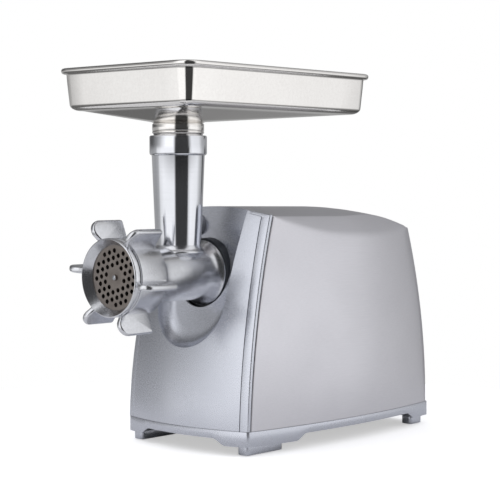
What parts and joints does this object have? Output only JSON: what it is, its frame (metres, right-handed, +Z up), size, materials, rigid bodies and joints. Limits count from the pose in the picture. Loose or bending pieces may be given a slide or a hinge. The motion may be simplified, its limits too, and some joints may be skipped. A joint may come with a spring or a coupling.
{
  "type": "electric meat grinder",
  "caption": "Free-standing electric meat grinder: bulged silver motor body, horizontal grinding head with winged screw ring, tapered feed tube and rectangular steel tray.",
  "frame": {"origin": "on the table, under the middle of the whole object's box", "axes": "+Z up, -Y towards the outlet of the grinding head, X across the body"},
  "size_m": [0.201, 0.429, 0.3945],
  "materials": {
    "housing_steel": "fine horizontal brushing, satin",
    "silver_moulding": "silver lacquered ABS",
    "cast_aluminium": "polished casting",
    "polished_steel": "polished stainless sheet",
    "ground_steel": "ground carbon steel",
    "black_moulding": "fine moulded texture",
    "pad_rubber": "soft rubber",
    "gear_case_alloy": "die cast",
    "machined_steel": "turned",
    "gear_nylon": "moulded nylon",
    "bearing_bronze": "sintered bronze",
    "lamination_steel": "stacked sheet",
    "winding_enamel": "enamelled copper",
    "carbon_black": "carbon",
    "board_green": "glass epoxy board"
  },
  "bodies": {
    "machine_base": {"base_skirt": "silver_moulding", "bottom_cover": "black_moulding", "feet": "silver_moulding", "foot_pads": "pad_rubber", "housing_shell": "housing_steel", "trim_frame": "silver_moulding", "front_cover": "silver_moulding", "head_socket": "black_moulding", "rear_grille": "black_moulding", "cord_gland": "black_moulding", "switch_panel": "black_moulding", "switch_case": "black_moulding", "control_board": "board_green", "gearbox_case": "gear_case_alloy", "gearbox_cover": "gear_case_alloy", "output_bushes": "bearing_bronze", "layshaft_bushes": "bearing_bronze", "motor_can": "gear_case_alloy", "motor_end_cap": "black_moulding", "motor_cradle": "black_moulding", "stator_core": "lamination_steel", "field_windings": "winding_enamel", "rotor_bearings": "machined_steel", "brush_holders": "bearing_bronze", "carbon_brushes": "carbon_black", "case_screws": "machined_steel", "gearbox_screws": "machined_steel", "release_spring": "machined_steel", "reverse_spring": "machined_steel"},
    "output_drive": {"drive_coupler": "machined_steel", "output_gear": "machined_steel"},
    "middle_gearshaft": {"layshaft_b": "machined_steel", "gear_b": "gear_nylon"},
    "motor_gearshaft": {"layshaft_a": "machined_steel", "gear_a": "gear_nylon"},
    "rotor": {"motor_shaft": "machined_steel", "armature_core": "lamination_steel", "armature_windings": "winding_enamel", "commutator": "bearing_bronze", "cooling_fan": "gear_nylon"},
    "grinding_head": {"head_casting": "cast_aluminium", "hole_plate": "ground_steel", "plate_key": "ground_steel", "thrust_washer": "gear_nylon"},
    "auger": {"auger_screw": "cast_aluminium", "auger_shaft": "ground_steel", "knife": "ground_steel"},
    "ring": {"screw_ring": "cast_aluminium"},
    "tray": {"feed_tray": "polished_steel", "tray_neck": "polished_steel"},
    "release": {"release_button": "silver_moulding", "lock_pin": "ground_steel"},
    "rocker": {"power_rocker": "black_moulding"},
    "reverse": {"reverse_button": "black_moulding"}
  },
  "joints": [
    {"name": "output_spin", "type": "hinge", "parent": "machine_base", "child": "output_drive", "pos_m": [0, 0.016, 0.183], "axis": [0, 1, 0], "continuous": true},
    {"name": "middle_spin", "type": "hinge", "parent": "machine_base", "child": "middle_gearshaft", "pos_m": [0, 0.03, 0.13565], "axis": [0, 1, 0], "continuous": true},
    {"name": "motor_stage_spin", "type": "hinge", "parent": "machine_base", "child": "motor_gearshaft", "pos_m": [0.03, 0.03, 0.10367], "axis": [0, 1, 0], "continuous": true},
    {"name": "rotor_spin", "type": "hinge", "parent": "machine_base", "child": "rotor", "pos_m": [0, 0.03, 0.08832], "axis": [0, 1, 0], "continuous": true},
    {"name": "head_pull", "type": "slide", "parent": "machine_base", "child": "grinding_head", "axis": [0, -1, 0], "range_m": [0, 0.07]},
    {"name": "auger_spin", "type": "hinge", "parent": "grinding_head", "child": "auger", "pos_m": [0, -0.12, 0.183], "axis": [0, 1, 0], "continuous": true},
    {"name": "ring_turn", "type": "hinge", "parent": "grinding_head", "child": "ring", "pos_m": [0, -0.187, 0.183], "axis": [0, -1, 0], "range_deg": [0, 450]},
    {"name": "tray_lift", "type": "slide", "parent": "grinding_head", "child": "tray", "axis": [0, 0, 1], "range_m": [0, 0.06]},
    {"name": "release_press", "type": "slide", "parent": "machine_base", "child": "release", "axis": [0, 1, 0], "range_m": [0, 0.004], "stiffness_N_per_m": 500, "springref_m": -0.002, "deforming": ["release_spring"]},
    {"name": "rocker_tilt", "type": "hinge", "parent": "machine_base", "child": "rocker", "pos_m": [-0.08423, 0.00084, 0.18443], "axis": [-0.0906, 0.9959, 0], "range_deg": [0, 20]},
    {"name": "reverse_press", "type": "slide", "parent": "machine_base", "child": "reverse", "axis": [0.9937, 0.0904, -0.0663], "range_m": [0, 0.003], "stiffness_N_per_m": 400, "springref_m": -0.001, "deforming": ["reverse_spring"]}
  ],
  "couplings": [
    {"joint": "middle_spin", "follows": "output_spin", "ratio": -3.5},
    {"joint": "motor_stage_spin", "follows": "output_spin", "ratio": 14},
    {"joint": "rotor_spin", "follows": "output_spin", "ratio": -70},
    {"joint": "auger_spin", "follows": "output_spin", "ratio": 1}
  ]
}
